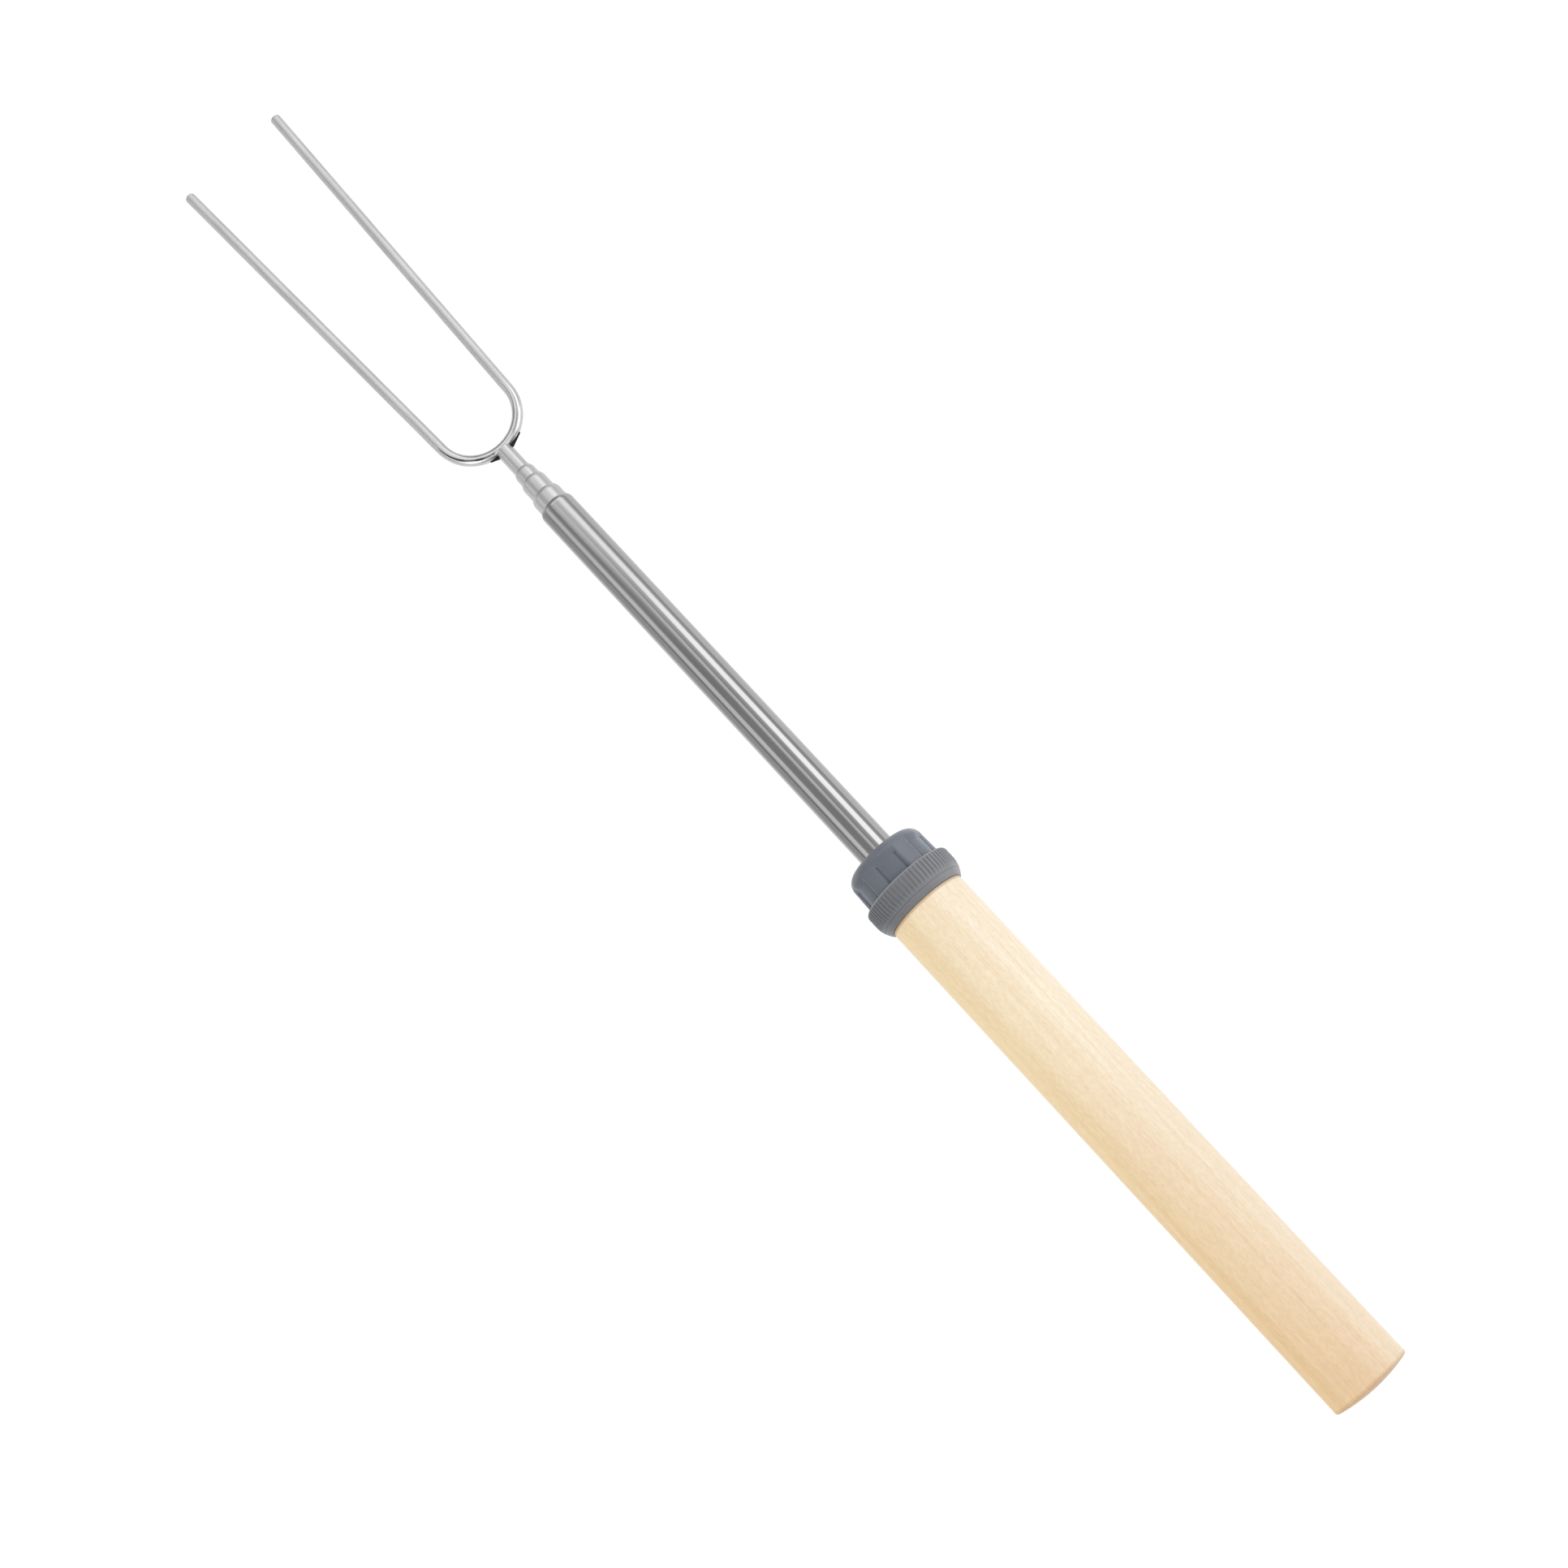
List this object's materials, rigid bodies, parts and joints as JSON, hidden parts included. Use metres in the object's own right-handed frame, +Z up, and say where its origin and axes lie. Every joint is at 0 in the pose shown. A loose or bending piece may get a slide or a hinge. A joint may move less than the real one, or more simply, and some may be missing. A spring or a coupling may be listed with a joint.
{
  "type": "marshmallow roasting fork",
  "caption": "Telescopic roasting fork with splayed wire prongs, nested steel tubes, a ribbed thumb wheel and a round wooden grip, shown collapsed.",
  "frame": {"origin": "on the axis, at the middle of the wooden grip", "axes": "+X along the axis towards the prong tips, the prongs spread along Y, +Z up with the fork lying flat"},
  "size_m": [0.3093, 0.0246, 0.018],
  "materials": {
    "wood": "pale sanded beech, unvarnished",
    "wheel_plastic": "moulded, neutral grey, satin",
    "cap_plastic": "moulded, bluish grey, satin",
    "polished_steel": "bright drawn stainless tube",
    "satin_steel": "satin drawn stainless tube and rod",
    "wire_steel": "satin stainless wire",
    "weld": "dark scaled weld",
    "bearing_plastic": "natural acetal",
    "plug_plastic": "black moulded",
    "washer_steel": "stamped steel",
    "spring_steel": "tempered steel",
    "bronze": "phosphor bronze strip"
  },
  "bodies": {
    "grip": {"handle_grip": "wood", "front_bearing_bush": "bearing_plastic", "rear_bearing_bush": "bearing_plastic", "thrust_washer": "washer_steel"},
    "wheel": {"thumb_wheel": "wheel_plastic", "hub_cap": "cap_plastic", "outer_tube": "polished_steel", "tube_end_plug": "plug_plastic", "retaining_ring": "spring_steel"},
    "sleeve_4": {"friction_sleeve_4": "bronze"},
    "section_4": {"section_4_tube": "satin_steel"},
    "sleeve_3": {"friction_sleeve_3": "bronze"},
    "section_3": {"section_3_tube": "satin_steel"},
    "sleeve_2": {"friction_sleeve_2": "bronze"},
    "section_2": {"section_2_tube": "satin_steel"},
    "sleeve_1": {"friction_sleeve_1": "bronze"},
    "fork": {"section_1_rod": "satin_steel", "fork_prongs": "wire_steel", "weld_bead_left": "weld", "weld_bead_right": "weld"}
  },
  "joints": [
    {"name": "wheel_spin", "type": "hinge", "parent": "grip", "child": "wheel", "pos_m": [0, 0, 0], "axis": [1, 0, 0], "continuous": true},
    {"name": "section_4_slide", "type": "slide", "parent": "wheel", "child": "sleeve_4", "axis": [1, 0, 0], "range_m": [0, 0.125]},
    {"name": "section_4_turn", "type": "hinge", "parent": "sleeve_4", "child": "section_4", "pos_m": [0, 0, 0], "axis": [1, 0, 0], "continuous": true},
    {"name": "section_3_slide", "type": "slide", "parent": "section_4", "child": "sleeve_3", "axis": [1, 0, 0], "range_m": [0, 0.1285]},
    {"name": "section_3_turn", "type": "hinge", "parent": "sleeve_3", "child": "section_3", "pos_m": [0, 0, 0], "axis": [1, 0, 0], "continuous": true},
    {"name": "section_2_slide", "type": "slide", "parent": "section_3", "child": "sleeve_2", "axis": [1, 0, 0], "range_m": [0, 0.132]},
    {"name": "section_2_turn", "type": "hinge", "parent": "sleeve_2", "child": "section_2", "pos_m": [0, 0, 0], "axis": [1, 0, 0], "continuous": true},
    {"name": "fork_slide", "type": "slide", "parent": "section_2", "child": "sleeve_1", "axis": [1, 0, 0], "range_m": [0, 0.1345]},
    {"name": "fork_turn", "type": "hinge", "parent": "sleeve_1", "child": "fork", "pos_m": [0, 0, 0], "axis": [1, 0, 0], "continuous": true}
  ]
}
